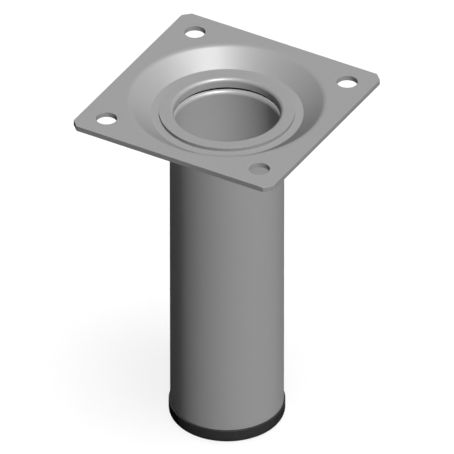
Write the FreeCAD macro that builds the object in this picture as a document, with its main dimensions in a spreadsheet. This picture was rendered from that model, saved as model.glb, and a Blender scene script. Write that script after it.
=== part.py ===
# A short round furniture leg: a dished square steel plate, a steel tube whose end is rolled over
# and folded around the plate's bore, and a plastic foot cap pressed into the tube's lower end.
# Millimetres. The origin is the centre of the foot's underside, +Z runs up to the plate, and the
# plate's edges run along X and Y.

import FreeCAD, Part
import os
import Sketcher
from FreeCAD import Vector

doc = FreeCAD.newDocument("furniture_leg")
sheet = doc.addObject("Spreadsheet::Sheet", "Sizes")

# Driving dimensions, each set by itself
driving_sizes = {
    "leg_height": 99.3,        # floor to the plate's top face
    "plate_side": 60.0,        # square blank
    "plate_thick": 1.5,        # sheet steel
    "corner_cut": 2.0,         # each corner's 45 degree cut, along the side
    "screw_pitch": 46.0,       # between screw holes, along both sides
    "screw_hole_dia": 5.5,
    "dish_depth": 4.0,         # plate's top face down to the dish's floor
    "floor_width": 5.0,        # tube's skin out to the foot of the dish's slope
    "slope_width": 5.5,        # foot of the slope out to the dish's mouth, seen from above
    "bend_radius": 0.5,        # inside of the pressed bends
    "bore_clearance": 0.05,    # plate's bore round the tube
    "tube_dia": 30.0,
    "tube_wall": 1.0,
    "rim_width": 2.85,         # rolled rim on the dish's floor, beyond the tube's skin
    "bead_width": 3.0,         # folded bead under the floor, beyond the tube's skin
    "bead_edge": 0.4,          # flattened corners of the bead's fold
    "foot_thick": 4.0,         # the cap's disc, under the tube's end
    "foot_overhang": 0.4,      # the disc beyond the tube's skin
    "foot_floor": 2.0,         # plastic left under the plug's hollow
    "toe_radius": 1.5,         # the disc's lower edge, rounded off in two flats
    "plug_length": 14.0,       # the plug inside the tube, above the disc
    "plug_wall": 1.8,
    "rib_reach": 1.6,          # a rib beyond the plug's wall
    "rib_width": 1.2,
    "rib_lead": 2.0,           # height of the slope that leads a rib into the tube
    "rib_count": 8,
    "rib_clearance": 0.05,     # ribs inside the tube, a press fit drawn just clear
}
for row, (alias, size) in enumerate(driving_sizes.items(), start=1):
    sheet.set(f"A{row}", alias.replace("_", " "))
    sheet.set(f"B{row}", str(size))
    sheet.setAlias(f"B{row}", alias)
doc.recompute()

# Sizes that pieces share, worked out from the driving ones
skin = "Sizes.tube_dia / 2"
bore = f"({skin} - Sizes.tube_wall)"
floor_top = "-Sizes.dish_depth"
floor_under = "-(Sizes.dish_depth + Sizes.plate_thick)"
floor_radius = f"({skin} + Sizes.floor_width)"
mouth_radius = f"({floor_radius} + Sizes.slope_width)"


def value(expression):
    """The number that an expression on the sheet gives now."""
    return float(sheet.evalExpression(str(expression)))


def new_body(label, height):
    """A body whose own zero level lies at a height above the floor."""
    body = doc.addObject("PartDesign::Body", label)
    body.Label = label
    body.setExpression("Placement.Base.z", height)
    return body


def new_sketch(body, name, role):
    """A sketch on one of the body's own origin planes."""
    plane = next(plane for plane in body.Origin.OriginFeatures if plane.Role == role)
    sketch = body.newObject("Sketcher::SketchObject", name)
    sketch.AttachmentSupport = [(plane, "")]
    sketch.MapMode = "FlatFace"
    return sketch


def place_point(sketch, side, end, x, y):
    """Tie one end of a side to its place, given as expressions."""
    for kind, axis, expression in (("DistanceX", -2, x), ("DistanceY", -1, y)):
        distance = value(expression)
        if distance == 0:
            sketch.addConstraint(Sketcher.Constraint("PointOnObject", side, end, axis))
            continue
        constraint = Sketcher.Constraint(kind, -1, 1, side, end, distance)
        number = sketch.addConstraint(constraint)
        sketch.setExpression(f"Constraints[{number}]", expression)


def tie_radius(sketch, side, radius):
    number = sketch.addConstraint(Sketcher.Constraint("Radius", side, value(radius)))
    sketch.setExpression(f"Constraints[{number}]", radius)


def draw_circle(sketch, x, y, radius):
    circle = Part.Circle(Vector(value(x), value(y), 0), Vector(0, 0, 1), value(radius))
    side = sketch.addGeometry(circle)
    place_point(sketch, side, 3, x, y)
    tie_radius(sketch, side, radius)


def add_side(sketch, start, finish, bend):
    """Add a straight side, or an arc for a bend of (radius, turn), where turn is 1 for an arc that
    bends left on its way and -1 for one that bends right. Gives the ends it starts and stops at."""
    if bend is None:
        sketch.addGeometry(Part.LineSegment(start, finish))
        return (1, 2)
    radius, turn = value(bend[0]), bend[1]
    chord = finish - start
    to_left = Vector(-chord.y, chord.x, 0).normalize()
    centre_offset = (radius**2 - (chord.Length / 2)**2) ** 0.5
    centre = (start + finish) / 2 + to_left * centre_offset * turn
    circle = Part.Circle(centre, Vector(0, 0, 1), radius)
    first, last = (start, finish) if turn > 0 else (finish, start)
    arc = Part.ArcOfCircle(circle, circle.parameter(first), circle.parameter(last))
    sketch.addGeometry(arc)
    return (1, 2) if turn > 0 else (2, 1)


def draw_outline(sketch, corners):
    """Close a list of corners, each (x, y, bend), where the bend is the side's that leaves it."""
    points = [Vector(value(x), value(y), 0) for x, y, bend in corners]
    following = points[1:] + points[:1]
    ends = [
        add_side(sketch, start, finish, corner[2])
        for start, finish, corner in zip(points, following, corners)
    ]
    for number, (x, y, bend) in enumerate(corners):
        after = (number + 1) % len(corners)
        joint = Sketcher.Constraint("Coincident", number, ends[number][1], after, ends[after][0])
        sketch.addConstraint(joint)
        place_point(sketch, number, ends[number][0], x, y)
        if bend is not None:
            tie_radius(sketch, number, bend[0])


def add_feature(body, kind, name, sketch, **settings):
    """Add a feature made from a sketch. A cut has to take something away."""
    is_cut = kind in ("Pocket", "Groove")
    before = body.Shape.Volume if is_cut else 0
    feature = body.newObject(f"PartDesign::{kind}", name)
    feature.Profile = sketch
    for setting, choice in settings.items():
        setattr(feature, setting, choice)
    feature.Refine = True
    doc.recompute()
    if is_cut and body.Shape.Volume >= before:
        raise RuntimeError(f"{name} cuts nothing")
    return feature


def turn_section(body, kind, name, sketch):
    """Turn a section once round the body's upright axis, as a Revolution or a Groove."""
    return add_feature(body, kind, name, sketch, ReferenceAxis=(sketch, ["V_Axis"]), Angle=360)


def round_ring(body, name, ring_radius, height, size):
    """Put a Fillet on the one circular edge at a ring radius and height."""
    solid = body.Tip
    edges = [
        f"Edge{number}"
        for number, edge in enumerate(solid.Shape.Edges, start=1)
        if isinstance(edge.Curve, Part.Circle)
        and abs(edge.Curve.Radius - value(ring_radius)) < 1e-4
        and abs(edge.Curve.Center.z - value(height)) < 1e-4
    ]
    if len(edges) != 1:
        raise RuntimeError(f"{name}: {len(edges)} edges at {ring_radius}, {height}")
    rounded = body.newObject("PartDesign::Fillet", name)
    rounded.Base = (solid, edges)
    rounded.setExpression("Radius", size)
    rounded.Refine = True
    doc.recompute()
    return rounded


# Mounting plate: a square blank with its corners cut, pressed down into a round dish with a
# sloping side, then punched for the tube and for four screws. Its zero level is its top face.
plate = new_body("mounting_plate", "Sizes.leg_height")

half_side = "Sizes.plate_side / 2"
past_cut = "(Sizes.plate_side / 2 - Sizes.corner_cut)"
blank_outline = new_sketch(plate, "blank_outline", "XY_Plane")
draw_outline(blank_outline, [
    (half_side, f"-{past_cut}", None),
    (half_side, past_cut, None),
    (past_cut, half_side, None),
    (f"-{past_cut}", half_side, None),
    (f"-{half_side}", past_cut, None),
    (f"-{half_side}", f"-{past_cut}", None),
    (f"-{past_cut}", f"-{half_side}", None),
    (past_cut, f"-{half_side}", None),
])
blank = add_feature(plate, "Pad", "blank", blank_outline, Reversed=True)
blank.setExpression("Length", "Sizes.plate_thick")

# The sheet keeps its thickness down the slope, so the underside's two corners stand further out
# than the top's by this much.
slope_lean = "atan(Sizes.dish_depth / Sizes.slope_width)"
under_shift = f"Sizes.plate_thick * tan({slope_lean} / 2)"
mouth_under = f"({mouth_radius} + {under_shift})"
floor_under_radius = f"({floor_radius} + {under_shift})"

dish_outside = new_sketch(plate, "dish_outside", "XZ_Plane")
draw_outline(dish_outside, [
    ("0", "-Sizes.plate_thick", None),
    ("0", floor_under, None),
    (floor_under_radius, floor_under, None),
    (mouth_under, "-Sizes.plate_thick", None),
])
turn_section(plate, "Revolution", "dish_pressing", dish_outside)

dish_inside = new_sketch(plate, "dish_inside", "XZ_Plane")
draw_outline(dish_inside, [
    ("0", "0", None),
    ("0", floor_top, None),
    (floor_radius, floor_top, None),
    (mouth_radius, "0", None),
])
turn_section(plate, "Groove", "dish_hollow", dish_inside)

tube_bore = new_sketch(plate, "tube_bore", "XY_Plane")
draw_circle(tube_bore, "0", "0", f"{skin} + Sizes.bore_clearance")
add_feature(plate, "Pocket", "tube_bore_punched", tube_bore, Type="ThroughAll")

# The sheet bends round the dish's mouth
mouth_bend = "Sizes.bend_radius + Sizes.plate_thick"
round_ring(plate, "mouth_bend", mouth_radius, "0", mouth_bend)

screw_holes = new_sketch(plate, "screw_holes", "XY_Plane")
half_pitch = "Sizes.screw_pitch / 2"
for x_side in ("", "-"):
    for y_side in ("", "-"):
        draw_circle(screw_holes, x_side + half_pitch, y_side + half_pitch, "Sizes.screw_hole_dia / 2")
add_feature(plate, "Pocket", "screw_holes_punched", screw_holes, Type="ThroughAll")

# Leg tube: one length of welded tube. Above the plate its end is rolled outwards into a flat rim.
# Under the plate its wall is folded outwards and flat into a bead two walls thick, so the dish's
# floor is held between the two. Its zero level is the plate's top face.
tube = new_body("leg_tube", "Sizes.leg_height")

rim_top = "-(Sizes.dish_depth - Sizes.tube_wall)"
rim_radius = f"({skin} + Sizes.rim_width)"
bead_middle = f"({floor_under} - Sizes.tube_wall)"
bead_under = f"({floor_under} - 2 * Sizes.tube_wall)"
bead_radius = f"({skin} + Sizes.bead_width)"
bead_flat = f"({bead_radius} - Sizes.bead_edge)"
tube_end = "-(Sizes.leg_height - Sizes.foot_thick)"

tube_section = new_sketch(tube, "tube_section", "XZ_Plane")
draw_outline(tube_section, [
    (skin, tube_end, None),
    (skin, bead_under, None),
    (bead_flat, bead_under, None),
    (bead_radius, f"({bead_under} + Sizes.bead_edge)", None),
    (bead_radius, f"({floor_under} - Sizes.bead_edge)", None),
    (bead_flat, floor_under, None),
    (skin, floor_under, None),
    (skin, floor_top, None),
    (rim_radius, floor_top, None),
    (rim_radius, rim_top, None),
    (skin, rim_top, ("Sizes.tube_wall", 1)),
    (bore, floor_top, None),
    (bore, floor_under, None),
    (skin, bead_middle, None),
    (bore, bead_under, None),
    (bore, tube_end, None),
])
turn_section(tube, "Revolution", "tube_formed", tube_section)

# Foot cap: a moulded disc under the tube's end, with a hollow plug whose upright ribs grip the
# tube's bore. Its zero level is the floor.
cap = new_body("foot_cap", "0")

foot_radius = f"({skin} + Sizes.foot_overhang)"
toe_step = "Sizes.toe_radius * (1 - sqrt(0.5))"
rib_radius = f"({bore} - Sizes.rib_clearance)"
plug_radius = f"({rib_radius} - Sizes.rib_reach)"
plug_bore = f"({plug_radius} - Sizes.plug_wall)"
plug_top = "(Sizes.foot_thick + Sizes.plug_length)"

cap_section = new_sketch(cap, "cap_section", "XZ_Plane")
draw_outline(cap_section, [
    ("0", "0", None),
    (f"({foot_radius} - Sizes.toe_radius)", "0", None),
    (f"({foot_radius} - {toe_step})", toe_step, None),
    (foot_radius, "Sizes.toe_radius", None),
    (foot_radius, "Sizes.foot_thick", None),
    (plug_radius, "Sizes.foot_thick", None),
    (plug_radius, plug_top, None),
    (plug_bore, plug_top, None),
    (plug_bore, "Sizes.foot_floor", None),
    ("0", "Sizes.foot_floor", None),
])
turn_section(cap, "Revolution", "disc_and_plug", cap_section)

# A rib starts inside the plug's wall, stands on the disc and slopes in at its top
rib_root = f"({plug_radius} - Sizes.plug_wall / 2)"
rib_profile = new_sketch(cap, "rib_profile", "XZ_Plane")
draw_outline(rib_profile, [
    (rib_root, "Sizes.foot_thick", None),
    (rib_radius, "Sizes.foot_thick", None),
    (rib_radius, f"({plug_top} - Sizes.rib_lead)", None),
    (plug_radius, plug_top, None),
    (rib_root, plug_top, None),
])
rib = add_feature(cap, "Pad", "rib", rib_profile, Midplane=True)
rib.setExpression("Length", "Sizes.rib_width")
ribs = cap.newObject("PartDesign::PolarPattern", "ribs")
ribs.Originals = [rib]
ribs.Axis = (rib_profile, ["V_Axis"])
ribs.setExpression("Occurrences", "Sizes.rib_count")
cap.Tip = ribs

# Every feature has to have worked, and each body has to be one sound solid
doc.recompute()
for item in doc.Objects:
    if "Invalid" in item.State or "Error" in item.State:
        raise RuntimeError(f"{item.Label} failed: {item.State}")
bodies = [plate, tube, cap]
for body in bodies:
    shape = body.Shape
    if shape.isNull() or not shape.isValid() or len(shape.Solids) != 1:
        raise RuntimeError(f"{body.Label} is not one sound solid")

os.makedirs("parts", exist_ok=True)
for body in bodies:
    body.Shape.exportStep(f"parts/{body.Label}.step")
    box = body.Shape.BoundBox
    print(body.Label, round(body.Shape.Volume, 1), "mm3, z", round(box.ZMin, 2), round(box.ZMax, 2))
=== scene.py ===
import math

import bmesh
import bpy
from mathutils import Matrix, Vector


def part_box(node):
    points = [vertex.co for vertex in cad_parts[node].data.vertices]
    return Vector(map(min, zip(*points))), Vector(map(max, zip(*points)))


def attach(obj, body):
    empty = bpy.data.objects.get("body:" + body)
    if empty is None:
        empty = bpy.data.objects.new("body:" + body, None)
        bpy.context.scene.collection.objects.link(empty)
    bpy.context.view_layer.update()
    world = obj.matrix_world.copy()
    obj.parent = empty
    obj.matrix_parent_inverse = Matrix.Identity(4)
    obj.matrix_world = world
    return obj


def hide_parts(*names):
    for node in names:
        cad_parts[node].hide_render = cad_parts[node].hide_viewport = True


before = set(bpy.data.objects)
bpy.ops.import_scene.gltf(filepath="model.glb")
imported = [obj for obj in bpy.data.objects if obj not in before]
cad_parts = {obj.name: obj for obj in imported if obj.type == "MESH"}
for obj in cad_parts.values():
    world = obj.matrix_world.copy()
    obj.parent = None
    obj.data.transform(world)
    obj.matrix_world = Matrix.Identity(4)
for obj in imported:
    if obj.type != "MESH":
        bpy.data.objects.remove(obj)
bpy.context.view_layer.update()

# Mounting plate. One blank of 1.5 mm sheet steel, square with its corners cut, pressed down into a
# round dish and punched for the tube and for four wood screws. It is lacquered silver grey.
plate_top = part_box("mounting_plate")[1].z
plate_side = 0.060
plate_thick = 0.0015
corner_cut = 0.002
screw_pitch = 0.046
screw_hole_radius = 0.00275
plate_bore = 0.01505
dish_depth = 0.004
dish_floor_radius = 0.020
dish_mouth_radius = 0.0255
dish_slope = math.atan2(dish_depth, dish_mouth_radius - dish_floor_radius)
mouth_bend = 0.002
floor_bend = 0.0002
edge_rounding = 0.00005
flat_margin = 0.0011
hole_margin = 1.25
ring_sides = 192
hole_sides = 64
same_place = 0.000002
near_edge = 0.0001


def from_axis(place):
    """How far a place is from the leg's axis."""
    return math.hypot(place.x, place.y)


def start_circle(name, radius, height):
    """Start a piece as one ring of edges, and leave it in edit mode with the ring selected."""
    bpy.ops.object.select_all(action="DESELECT")
    bpy.ops.mesh.primitive_circle_add(vertices=ring_sides, radius=radius)
    piece = bpy.context.object
    piece.name = name
    piece.data.name = name
    bpy.ops.object.mode_set(mode="EDIT")
    bpy.ops.transform.translate(value=(0, 0, height))
    return piece


def run_ring(radius, height):
    """Extrude the selected ring on to another radius and height."""
    edit = bmesh.from_edit_mesh(bpy.context.object.data)
    place = next(vertex.co.copy() for vertex in edit.verts if vertex.select)
    widening = radius / from_axis(place)
    bpy.ops.mesh.extrude_edges_move(TRANSFORM_OT_translate={"value": (0, 0, height - place.z)})
    bpy.ops.transform.resize(value=(widening, widening, 1), center_override=(0, 0, 0))


def select_edges(wanted):
    """In edit mode, select the edges that a test of the edge picks, and nothing else."""
    bpy.ops.mesh.select_all(action="DESELECT")
    edit = bmesh.from_edit_mesh(bpy.context.object.data)
    for edge in edit.edges:
        if wanted(edge):
            edge.select_set(True)
    edit.select_flush_mode()
    bmesh.update_edit_mesh(bpy.context.object.data)


def on_ring(edge, radius, height):
    """True for an edge that lies along a ring."""
    return all(
        abs(from_axis(end.co) - radius) < same_place and abs(end.co.z - height) < same_place
        for end in edge.verts
    )


def round_ring(radius, height, reach, segments):
    """Round the edge along a ring, reach being how far the rounding goes to either side."""
    select_edges(lambda edge: on_ring(edge, radius, height))
    bpy.ops.mesh.bevel(offset=reach, segments=segments, affect="EDGES", clamp_overlap=False)


def merge_doubles():
    """Merge the points of the piece in edit mode that lie in the same place."""
    bpy.ops.mesh.select_all(action="SELECT")
    bpy.ops.mesh.remove_doubles(threshold=same_place)


def close_piece():
    """Merge what meets, point the faces outwards, leave edit mode and shade the piece smooth."""
    merge_doubles()
    bpy.ops.mesh.normals_make_consistent(inside=False)
    bpy.ops.object.mode_set(mode="OBJECT")
    bpy.ops.object.shade_smooth()


def finish_with(piece, kind, **settings):
    """Put a modifier on a piece and apply it."""
    modifier = piece.modifiers.new(kind.lower(), kind)
    for setting, choice in settings.items():
        setattr(modifier, setting, choice)
    bpy.ops.object.modifier_apply(modifier=modifier.name)


def weigh_normals(piece):
    """Keep flat faces flat where they run into a rounding."""
    finish_with(piece, "WEIGHTED_NORMAL", mode="FACE_AREA", keep_sharp=True)


mounting_plate = start_circle("mounting_plate_sheet", plate_bore, plate_top - dish_depth)
run_ring(dish_floor_radius, plate_top - dish_depth)
run_ring(dish_mouth_radius, plate_top)
run_ring(dish_mouth_radius + flat_margin, plate_top)

# The flat's outline and the four screw holes, each with a narrow margin of its own
bpy.ops.mesh.select_all(action="DESELECT")
bpy.ops.mesh.primitive_plane_add(size=plate_side, location=(0, 0, plate_top))
bpy.ops.mesh.bevel(offset=corner_cut, segments=1, affect="VERTICES")
bpy.ops.mesh.inset(thickness=flat_margin / 2)
bpy.ops.mesh.delete(type="ONLY_FACE")
for x_side in (-1, 1):
    for y_side in (-1, 1):
        hole_centre = (x_side * screw_pitch / 2, y_side * screw_pitch / 2, plate_top)
        bpy.ops.mesh.select_all(action="DESELECT")
        bpy.ops.mesh.primitive_circle_add(
            vertices=hole_sides, radius=screw_hole_radius, location=hole_centre
        )
        bpy.ops.mesh.extrude_edges_move()
        bpy.ops.transform.resize(
            value=(hole_margin, hole_margin, 1), center_override=hole_centre
        )


def borders_flat(edge):
    """True for the margins' edges that the plate's flat still has to join."""
    middle = (edge.verts[0].co + edge.verts[1].co) / 2
    if len(edge.link_faces) != 1 or abs(middle.z - plate_top) > same_place:
        return False
    from_hole = math.hypot(abs(middle.x) - screw_pitch / 2, abs(middle.y) - screw_pitch / 2)
    at_hole = abs(from_hole - screw_hole_radius) < near_edge
    at_outline = max(abs(middle.x), abs(middle.y)) > plate_side / 2 - near_edge
    at_cut = abs(middle.x) + abs(middle.y) > plate_side - corner_cut - near_edge
    return not (at_hole or at_outline or at_cut)


# The flat is filled in between the margins, both bends are rounded, and the sheet is thickened
# downwards, which keeps its thickness even down the dish's slope
select_edges(borders_flat)
bpy.ops.mesh.fill()
round_ring(
    dish_mouth_radius, plate_top,
    reach=mouth_bend * math.tan(dish_slope / 2), segments=10,
)
round_ring(
    dish_floor_radius, plate_top - dish_depth,
    reach=floor_bend * math.tan(dish_slope / 2), segments=6,
)
close_piece()
finish_with(
    mounting_plate, "SOLIDIFY", thickness=plate_thick, offset=-1, use_even_offset=True
)
finish_with(
    mounting_plate, "BEVEL", width=edge_rounding, segments=2, limit_method="ANGLE",
    angle_limit=math.radians(40), harden_normals=True,
)
weigh_normals(mounting_plate)


def add_node(tree, kind, settings=None, inputs=None):
    """A shader node with its settings and the values of its sockets."""
    node = tree.nodes.new(kind)
    for setting, choice in (settings or {}).items():
        setattr(node, setting, choice)
    for socket, choice in (inputs or {}).items():
        node.inputs[socket].default_value = choice
    return node


def new_material(name, settings):
    """A material with its surface shader and the piece's own coordinates."""
    material = bpy.data.materials.new(name)
    material.use_nodes = True
    tree = material.node_tree
    surface = tree.nodes["Principled BSDF"]
    for socket, choice in settings.items():
        surface.inputs[socket].default_value = choice
    place = tree.nodes.new("ShaderNodeTexCoord")
    return material, tree, surface, place.outputs["Object"]


def stretch(tree, place, along_axis):
    """The same coordinates, squeezed along the leg's axis so that a pattern runs out along it."""
    stretched = add_node(tree, "ShaderNodeMapping", inputs={"Scale": (1, 1, along_axis)})
    tree.links.new(place, stretched.inputs["Vector"])
    return stretched.outputs["Vector"]


def add_noise(tree, place, scale, detail):
    """A noise pattern of so many grains to the metre."""
    noise = add_node(tree, "ShaderNodeTexNoise", inputs={"Scale": scale, "Detail": detail})
    tree.links.new(place, noise.inputs["Vector"])
    return noise.outputs["Fac"]


def spread(tree, pattern, low, high):
    """Turn a pattern into a range of values."""
    ranged = add_node(tree, "ShaderNodeMapRange", inputs={
        "From Min": 0.3, "From Max": 0.7, "To Min": low, "To Max": high,
    })
    tree.links.new(pattern, ranged.inputs["Value"])
    return ranged.outputs["Result"]


def raise_surface(tree, surface, pattern, height, strength):
    """Let a pattern stand up from the surface."""
    bump = add_node(
        tree, "ShaderNodeBump", inputs={"Strength": strength, "Distance": height}
    )
    tree.links.new(pattern, bump.inputs["Height"])
    tree.links.new(bump.outputs["Normal"], surface.inputs["Normal"])


def tint(tree, surface, pattern, dark, light):
    """Vary the surface's colour between two greys with a pattern."""
    mix = add_node(tree, "ShaderNodeMix", {"data_type": "RGBA"})
    mix.inputs["A"].default_value = (dark, dark, dark, 1)
    mix.inputs["B"].default_value = (light, light, light, 1)
    tree.links.new(spread(tree, pattern, low=0, high=1), mix.inputs["Factor"])
    tree.links.new(mix.outputs["Result"], surface.inputs["Base Color"])


# Silver lacquer: its gloss is that of fine metal flake, with no clear coat over it
silver_flake = {
    "Metallic": 0.085,
    "Roughness": 0.38,
    "Specular IOR Level": 0,
    "Specular Tint": (0.15, 0.15, 0.15, 1),
}


def silver_lacquer(name):
    """The lacquer of plate and tube, with its fine flecks and faintly uneven surface."""
    material, tree, surface, place = new_material(name, silver_flake)
    flecks = add_noise(tree, place, scale=9000, detail=2)
    tint(tree, surface, flecks, dark=0.352, light=0.368)
    waves = add_noise(tree, place, scale=1800, detail=2)
    raise_surface(tree, surface, waves, height=0.00001, strength=0.25)
    return material, tree, surface, place


plate_lacquer, tree, surface, place = silver_lacquer("plate_lacquer")
cloud = add_noise(tree, place, scale=260, detail=3)
tree.links.new(spread(tree, cloud, low=0.36, high=0.40), surface.inputs["Roughness"])
mounting_plate.data.materials.append(plate_lacquer)


def lacquer_on_cut(name, dark, light):
    """Lacquer on a cut edge: rough, with the marks of the cut running across the sheet."""
    material, tree, surface, place = new_material(name, silver_flake)
    cut_marks = add_noise(tree, stretch(tree, place, along_axis=0.1), scale=4000, detail=3)
    tint(tree, surface, cut_marks, dark, light)
    raise_surface(tree, surface, cut_marks, height=0.00002, strength=0.3)
    return material


def give_faces_material(piece, material, worn):
    """Give the faces that a test picks a material of their own."""
    piece.data.materials.append(material)
    for face in piece.data.polygons:
        if worn(face):
            face.material_index = len(piece.data.materials) - 1


def stands_upright(face):
    """True for a face that is cut square through the sheet, or nearly so."""
    return abs(face.normal.z) < 0.3


def is_punched(face):
    """True for the plate's cut faces: its outline, its screw holes and its bore."""
    furthest = max(abs(face.center.x), abs(face.center.y))
    outside_dish = furthest > screw_pitch / 2 - screw_hole_radius
    in_bore = from_axis(face.center) < dish_floor_radius
    return stands_upright(face) and (outside_dish or in_bore)


punched_edge = lacquer_on_cut("punched_edge", dark=0.31, light=0.34)
give_faces_material(mounting_plate, punched_edge, is_punched)
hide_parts("mounting_plate")
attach(mounting_plate, "root")

# Leg tube. One length of welded steel tube with a 1 mm wall. Its end is rolled outwards into a rim
# on the dish's floor and folded outwards into a bead under it, which hold the plate between them.
tube_low, tube_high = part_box("leg_tube")
tube_radius = 0.015
tube_wall = 0.001
tube_bore = tube_radius - tube_wall
end_rounding = 0.0001
rim_radius = 0.01785
rim_under = plate_top - dish_depth
rim_rounding = 0.00004
bead_top = rim_under - plate_thick
bead_middle = bead_top - tube_wall
bead_under = bead_middle - tube_wall
bead_radius = 0.018
bead_rounding = tube_wall * 0.98
crease_gap = 0.00033
crease_radius = 0.0165
lip_bend = 0.0013
lip_centre = tube_bore + lip_bend
layer_slope = crease_gap / (crease_radius - lip_centre)
lip_under = bead_under - layer_slope * (crease_radius - tube_radius)


def run_bend(centre_radius, centre_height, bend, start, finish, steps):
    """Extrude the selected ring round a bend of the wall, between two angles in its section."""
    for step in range(1, steps + 1):
        angle = math.radians(start + (finish - start) * step / steps)
        run_ring(
            centre_radius + bend * math.cos(angle), centre_height + bend * math.sin(angle)
        )


# The section of the wall, run round from the lower end: up the outside, out round the bead, out
# round the rim, down through the neck, out into the crease, back over the lip and down the bore
leg_tube = start_circle("leg_tube_formed", tube_bore, tube_low.z)
run_ring(tube_radius, tube_low.z)
run_ring(tube_radius, lip_under)
run_ring(crease_radius, bead_under)
run_ring(bead_radius, bead_under)
run_ring(bead_radius, bead_top)
run_ring(tube_radius, bead_top)
run_ring(tube_radius, rim_under)
run_ring(rim_radius, rim_under)
run_ring(rim_radius, tube_high.z)
run_ring(tube_radius, tube_high.z)
run_bend(tube_radius, tube_high.z - tube_wall, tube_wall, start=90, finish=180, steps=10)
run_ring(tube_bore, bead_top)
run_bend(tube_radius, bead_top, tube_wall, start=180, finish=270, steps=8)
run_ring(crease_radius, bead_middle)
run_ring(lip_centre, bead_middle - crease_gap)
run_bend(
    lip_centre, bead_middle - crease_gap - lip_bend, lip_bend, start=90, finish=180, steps=12
)
run_ring(tube_bore, tube_low.z)
merge_doubles()
round_ring(bead_radius, bead_under, reach=bead_rounding, segments=8)
round_ring(bead_radius, bead_top, reach=bead_rounding, segments=8)
round_ring(rim_radius, tube_high.z, reach=rim_rounding, segments=2)
round_ring(tube_radius, tube_low.z, reach=end_rounding, segments=2)
round_ring(tube_bore, tube_low.z, reach=end_rounding, segments=2)
round_ring(tube_radius, lip_under, reach=lip_bend - tube_wall, segments=4)
close_piece()
bpy.ops.object.shade_smooth_by_angle(angle=math.radians(50))
weigh_normals(leg_tube)

# The tube is drawn, so its gloss varies in streaks along it
tube_lacquer, tree, surface, place = silver_lacquer("tube_lacquer")
streaks = add_noise(tree, stretch(tree, place, along_axis=0.02), scale=2200, detail=2)
tree.links.new(spread(tree, streaks, low=0.36, high=0.40), surface.inputs["Roughness"])
leg_tube.data.materials.append(tube_lacquer)

# Painted shade: the faces at the crease between the bead's two layers are painted near black, for
# the shade that falls in the crease
painted_shade_below = 0.00036
painted_shade_above = 0.00078
painted_crease_shade, tree, surface, place = new_material("painted_crease_shade", silver_flake)
tint(tree, surface, add_noise(tree, place, scale=3000, detail=2), dark=0.015, light=0.025)


def in_crease(face):
    """True for the tube's faces just above and below the crease, as far as its bottom."""
    above_crease = face.center.z - bead_middle
    return -painted_shade_below < above_crease < painted_shade_above and from_axis(face.center) < crease_radius


give_faces_material(leg_tube, painted_crease_shade, in_crease)


def is_sawn(face):
    """True for the rim's outer side, which is the tube's sawn end."""
    on_rim = face.center.z > rim_under and from_axis(face.center) > tube_radius + tube_wall
    return stands_upright(face) and on_rim


# The rim's outer side has the rough, marked lacquer of a cut end, and is painted darker than the
# plate's punched edges as painted shade along the rim's side
sawn_end_painted_shade = lacquer_on_cut("sawn_end_painted_shade", dark=0.24, light=0.28)
give_faces_material(leg_tube, sawn_end_painted_shade, is_sawn)
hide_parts("leg_tube")
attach(leg_tube, "root")

# Foot cap. One moulding of black plastic: a disc that stands on the floor, with a hollow plug inside
# the tube. Eight upright ribs on the plug are pressed into the tube's bore and hold the cap.
cap_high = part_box("foot_cap")[1]
disc_radius = 0.0154
disc_thick = 0.004
disc_toe = 0.0015
disc_rounding = 0.00015
disc_margin = 0.002
plug_radius = 0.01235
plug_bore = 0.01055
plug_rounding = 0.0003
hollow_floor = 0.002
rib_radius = 0.01395
rib_width = 0.0012
rib_lead = 0.002
rib_sunk_side = 0.0009
rib_sunk_foot = 0.0001
rib_count = 8

foot_cap = start_circle("foot_cap_moulding", plug_bore, hollow_floor)
bpy.ops.mesh.edge_face_add()
bpy.ops.mesh.inset(thickness=plug_rounding)
select_edges(lambda edge: on_ring(edge, plug_bore, hollow_floor))
run_ring(plug_bore, cap_high.z)
run_ring(plug_radius, cap_high.z)
run_ring(plug_radius, disc_thick)
run_ring(disc_radius, disc_thick)
run_ring(disc_radius, 0)
run_ring(disc_radius - disc_margin, 0)
bpy.ops.mesh.edge_face_add()
round_ring(disc_radius, 0, reach=disc_toe, segments=8)
round_ring(disc_radius, disc_thick, reach=disc_rounding, segments=3)
round_ring(plug_radius, cap_high.z, reach=plug_rounding, segments=3)
round_ring(plug_bore, cap_high.z, reach=plug_rounding, segments=3)
close_piece()

# One rib, sloping in at its top, turned round the plug and grown into its wall
bpy.ops.object.select_all(action="DESELECT")
rib_root = plug_radius - rib_sunk_side
rib_middle = ((rib_root + rib_radius) / 2, 0, (disc_thick + cap_high.z) / 2)
bpy.ops.mesh.primitive_cube_add(size=1, location=rib_middle)
ribs = bpy.context.object
ribs.scale = (rib_radius - rib_root, rib_width, cap_high.z - disc_thick)
bpy.ops.object.transform_apply(location=True, rotation=True, scale=True)
bpy.ops.object.mode_set(mode="EDIT")


def tops_rib(edge):
    """True for the rib's outer top edge."""
    return all(
        end.co.x > rib_radius - same_place and end.co.z > disc_thick + same_place
        for end in edge.verts
    )


select_edges(tops_rib)
bpy.ops.transform.translate(value=(0, 0, -rib_lead))
bpy.ops.mesh.select_all(action="SELECT")
bpy.ops.transform.translate(value=(0, 0, -rib_sunk_foot))
for turn in range(1, rib_count):
    bpy.ops.mesh.duplicate()
    bpy.ops.transform.rotate(
        value=math.tau / rib_count, orient_axis="Z", center_override=(0, 0, 0)
    )
bpy.ops.object.mode_set(mode="OBJECT")
bpy.ops.object.select_all(action="DESELECT")
foot_cap.select_set(True)
bpy.context.view_layer.objects.active = foot_cap
finish_with(foot_cap, "BOOLEAN", operation="UNION", object=ribs, solver="EXACT")
bpy.data.objects.remove(ribs)
bpy.ops.object.shade_smooth_by_angle(angle=math.radians(35))
weigh_normals(foot_cap)

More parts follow.
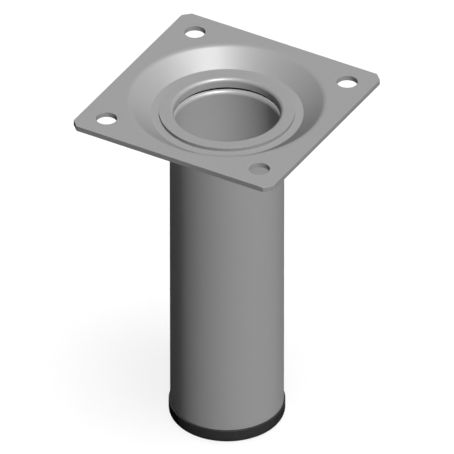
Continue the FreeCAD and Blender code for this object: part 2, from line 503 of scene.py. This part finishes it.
cap_plastic, tree, surface, place = new_material("cap_plastic", {
    "Metallic": 0.12,
    "Roughness": 0.5,
    "Specular IOR Level": 0,
    "Specular Tint": (0.15, 0.15, 0.15, 1),
})
tint(tree, surface, add_noise(tree, place, scale=700, detail=3), dark=0.036, light=0.042)
grain = add_noise(tree, place, scale=5200, detail=3)
raise_surface(tree, surface, grain, height=0.00002, strength=0.4)
foot_cap.data.materials.append(cap_plastic)
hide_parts("foot_cap")
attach(foot_cap, "root")

# Floor. A plain pale floor that keeps a faint, soft shadow of the leg. It glows a little to the
# camera, lies dim under the leg as a source of light, and can be seen through from below.
bpy.ops.object.select_all(action="DESELECT")
bpy.ops.mesh.primitive_plane_add(size=6)
floor = bpy.context.object
floor.name = "floor"
floor_paint = bpy.data.materials.new("floor_paint")
floor_paint.use_nodes = True
tree = floor_paint.node_tree
tree.nodes.clear()


def background_rays(tree):
    """1 for rays that see the background: camera rays, and reflected or refracted ones."""
    rays = tree.nodes.new("ShaderNodeLightPath")
    total = rays.outputs["Is Camera Ray"]
    for kind in ("Is Glossy Ray", "Is Transmission Ray"):
        either = add_node(tree, "ShaderNodeMath", {"operation": "MAXIMUM"})
        tree.links.new(total, either.inputs[0])
        tree.links.new(rays.outputs[kind], either.inputs[1])
        total = either.outputs[0]
    return total


def mix_shaders(tree, factor, first, second):
    """One shader where a factor is 0 and another where it is 1."""
    mix = tree.nodes.new("ShaderNodeMixShader")
    tree.links.new(factor, mix.inputs["Fac"])
    tree.links.new(first.outputs[0], mix.inputs[1])
    tree.links.new(second.outputs[0], mix.inputs[2])
    return mix


pale = add_node(tree, "ShaderNodeBsdfDiffuse", inputs={"Color": (0.3, 0.3, 0.3, 1)})
glow = add_node(tree, "ShaderNodeEmission", inputs={"Strength": 0.57})
lit = tree.nodes.new("ShaderNodeAddShader")
tree.links.new(pale.outputs[0], lit.inputs[0])
tree.links.new(glow.outputs[0], lit.inputs[1])
dim = add_node(tree, "ShaderNodeBsdfDiffuse", inputs={"Color": (0.05, 0.05, 0.05, 1)})
seen = mix_shaders(tree, background_rays(tree), dim, lit)
clear = tree.nodes.new("ShaderNodeBsdfTransparent")
geometry = tree.nodes.new("ShaderNodeNewGeometry")
from_above = mix_shaders(tree, geometry.outputs["Backfacing"], seen, clear)
output = tree.nodes.new("ShaderNodeOutputMaterial")
tree.links.new(from_above.outputs[0], output.inputs["Surface"])
floor.data.materials.append(floor_paint)

# Surroundings and lamps. The surroundings are white to the camera and in reflections, and dim as
# light on the leg. The lamps on the leg cast no shadows, because the photograph shows none on it.
world = bpy.data.worlds.new("studio")
bpy.context.scene.world = world
world.use_nodes = True
tree = world.node_tree
background = tree.nodes["Background"]
background.inputs["Color"].default_value = (1, 1, 1, 1)
brightness = add_node(tree, "ShaderNodeMapRange", inputs={"To Min": 0.02, "To Max": 1.0})
tree.links.new(background_rays(tree), brightness.inputs["Value"])
tree.links.new(brightness.outputs["Result"], background.inputs["Strength"])


def add_sun(name, toward, strength, softness, casts_shadow=False):
    """A distant lamp, set by the direction that it stands in and its width in degrees."""
    bpy.ops.object.light_add(type="SUN")
    sun = bpy.context.object
    sun.name = name
    sun.rotation_mode = "QUATERNION"
    sun.rotation_quaternion = Vector(toward).to_track_quat("Z", "Y")
    sun.data.energy = strength
    sun.data.angle = math.radians(softness)
    sun.data.use_shadow = casts_shadow
    return sun


add_sun("key_lamp", (0.557, -0.267, 0.786), strength=3.57, softness=4)

# Two lamps for gloss alone: a small one, and a broad one for the dish's slope and the rolled bends
gloss_lamp = add_sun("gloss_lamp", (0.468, -0.366, 0.804), strength=6, softness=4)
gloss_lamp.visible_diffuse = False
soft_box = add_sun("soft_box", (0.575, -0.227, 0.786), strength=5.2, softness=72)
soft_box.visible_diffuse = False

# The fill lamp stands low behind the leg and lights what faces away from the key lamp
add_sun("fill_lamp", (-0.343, 0.594, -0.727), strength=2.0, softness=20)

# This lamp lights the floor alone, and the leg's shadow on the floor comes from it
shadow_lamp = add_sun(
    "shadow_lamp", (0.200, -0.100, 0.975), strength=2.4, softness=34, casts_shadow=True
)
floor_group = bpy.data.collections.new("floor_group")
floor_group.objects.link(floor)
shadow_lamp.light_linking.receiver_collection = floor_group

# A weak square lamp overhead lifts the faces that lie flat
bpy.ops.object.light_add(type="AREA", location=(0.05, 0.05, 0.9))
overhead = bpy.context.object
overhead.name = "overhead_lamp"
overhead.data.size = 0.5
overhead.data.energy = 0.28

# Camera. It looks down on the leg at 35 degrees, past the plate's corner. It stands a long way off
# behind a long lens, because the photograph has no perspective.
lens = 1700
sensor_width = 36
frame_width = 0.1190
aim_below_plate = 0.04049
azimuth = math.radians(30)
elevation = math.radians(35)
back = Vector((
    math.sin(azimuth) * math.cos(elevation),
    -math.cos(azimuth) * math.cos(elevation),
    math.sin(elevation),
))
aim = Vector((0, 0, plate_top - aim_below_plate))
bpy.ops.object.camera_add(location=aim + back * frame_width * lens / sensor_width)
camera = bpy.context.object
camera.rotation_mode = "QUATERNION"
camera.rotation_quaternion = (-back).to_track_quat("-Z", "Y")
camera.data.lens = lens
camera.data.sensor_width = sensor_width
camera.data.clip_start = 0.1
camera.data.clip_end = 20
bpy.context.scene.camera = camera
bpy.context.scene.view_settings.view_transform = "Standard"
